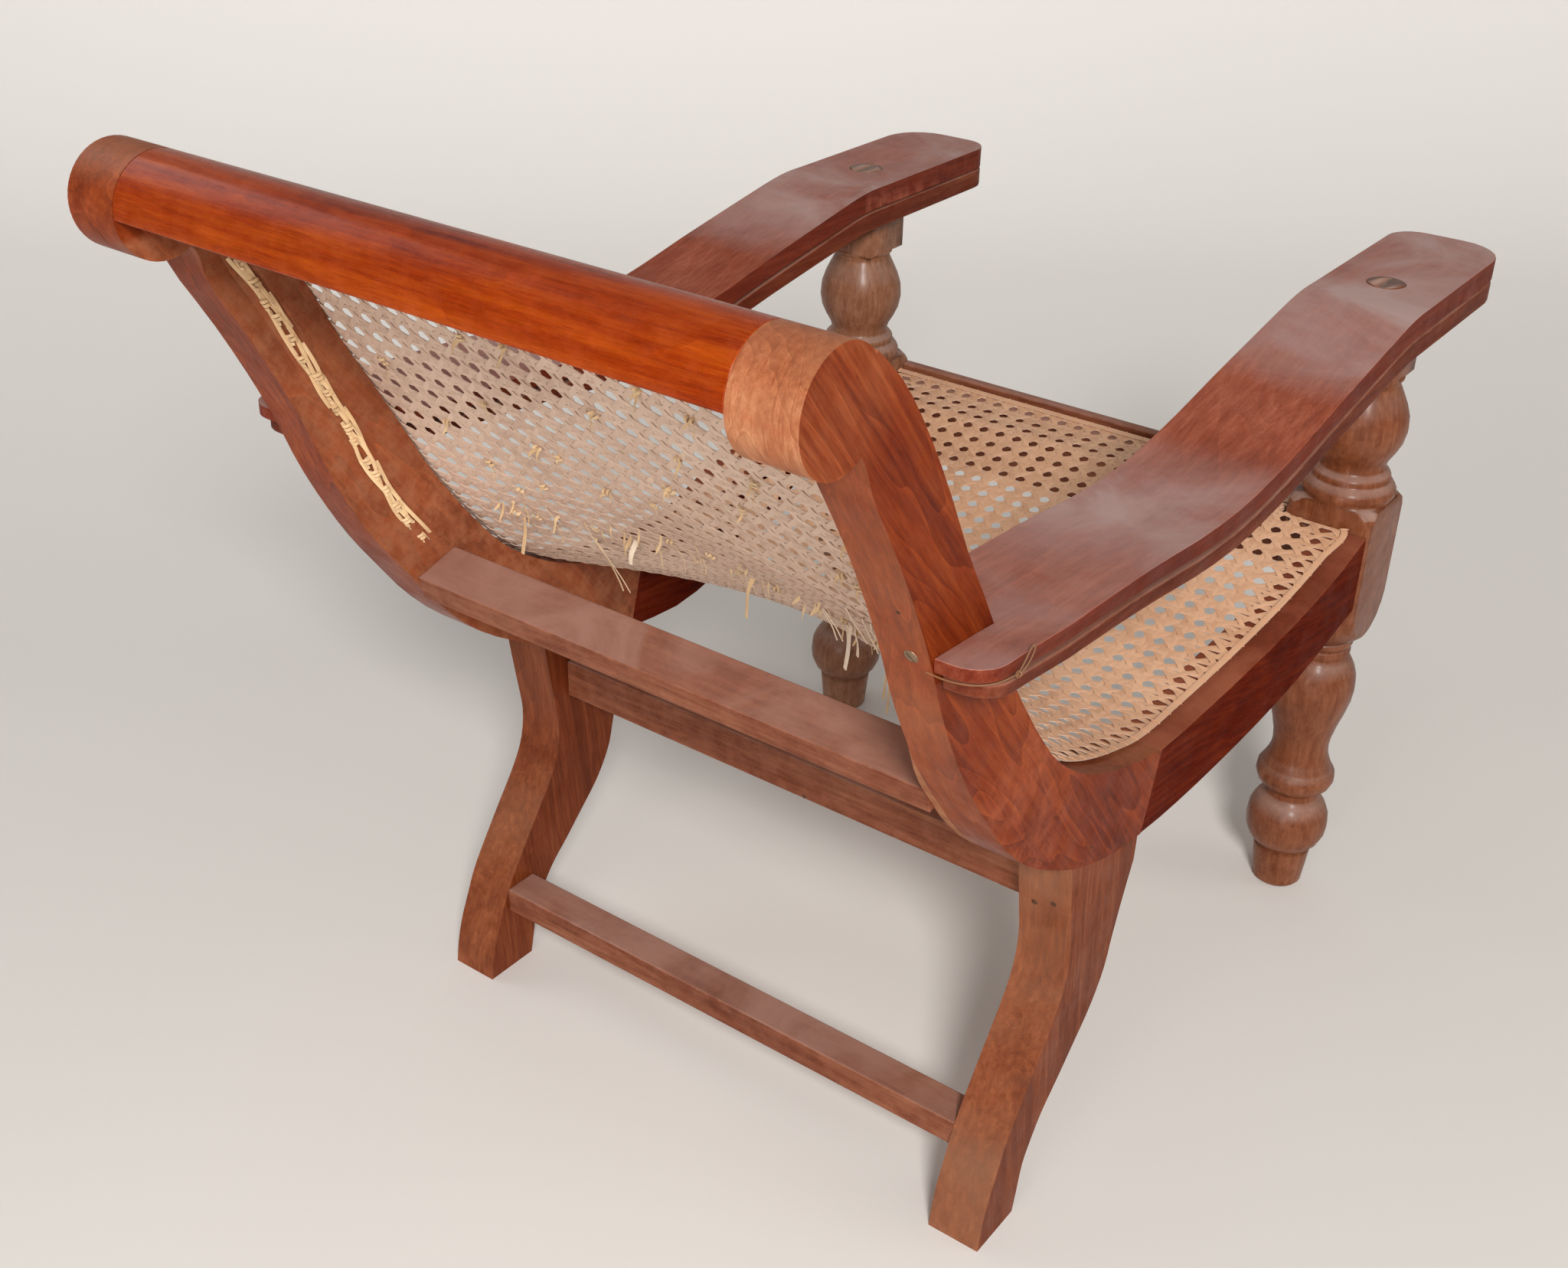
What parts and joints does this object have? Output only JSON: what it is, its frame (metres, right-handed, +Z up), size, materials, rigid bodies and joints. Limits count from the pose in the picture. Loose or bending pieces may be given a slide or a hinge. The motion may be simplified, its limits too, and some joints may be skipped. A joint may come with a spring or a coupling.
{
  "type": "planters chair",
  "caption": "Low planter's chair with scrolled crest, caned sling seat and back, swept arms, and leg rests that swing out from under the arms.",
  "frame": {"origin": "on the floor under the middle of the chair's bounding box, midway between the side frames", "axes": "+Z up, the sitter faces -Y, the sitter's right side is at -X"},
  "size_m": [0.708, 1.139, 0.9035],
  "materials": {
    "frame_wood": "worn shellac over red-brown teak",
    "crest_wood": "glossy orange-red varnish",
    "arm_wood": "dusty satin shellac",
    "leg_wood": "satin shellac",
    "cane": "woven split cane"
  },
  "bodies": {
    "chair": {"stile_right": "frame_wood", "stile_left": "frame_wood", "seat_rail_right": "frame_wood", "seat_rail_left": "frame_wood", "crest_rail": "crest_wood", "back_cross_rail": "frame_wood", "rear_seat_rail": "leg_wood", "rear_stretcher": "leg_wood", "front_rail": "frame_wood", "rear_leg_right": "leg_wood", "rear_leg_left": "leg_wood", "front_leg_right": "leg_wood", "front_leg_left": "leg_wood", "tenon_wedge_right": "arm_wood", "tenon_wedge_left": "arm_wood", "arm_right": "arm_wood", "arm_left": "arm_wood", "cane_sling": "cane", "cane_binder_right": "cane", "cane_binder_left": "cane", "cane_binder_crest": "cane", "cane_binder_front": "cane"},
    "leg_rest_right": {"leg_rest_right": "arm_wood"},
    "leg_rest_left": {"leg_rest_left": "arm_wood"}
  },
  "joints": [
    {"name": "right_leg_rest_swing", "type": "hinge", "parent": "chair", "child": "leg_rest_right", "pos_m": [-0.296, -0.393, 0.654], "axis": [0, 0, 1], "range_deg": [0, 100]},
    {"name": "left_leg_rest_swing", "type": "hinge", "parent": "chair", "child": "leg_rest_left", "pos_m": [0.296, -0.393, 0.654], "axis": [0, 0, -1], "range_deg": [0, 100]}
  ]
}
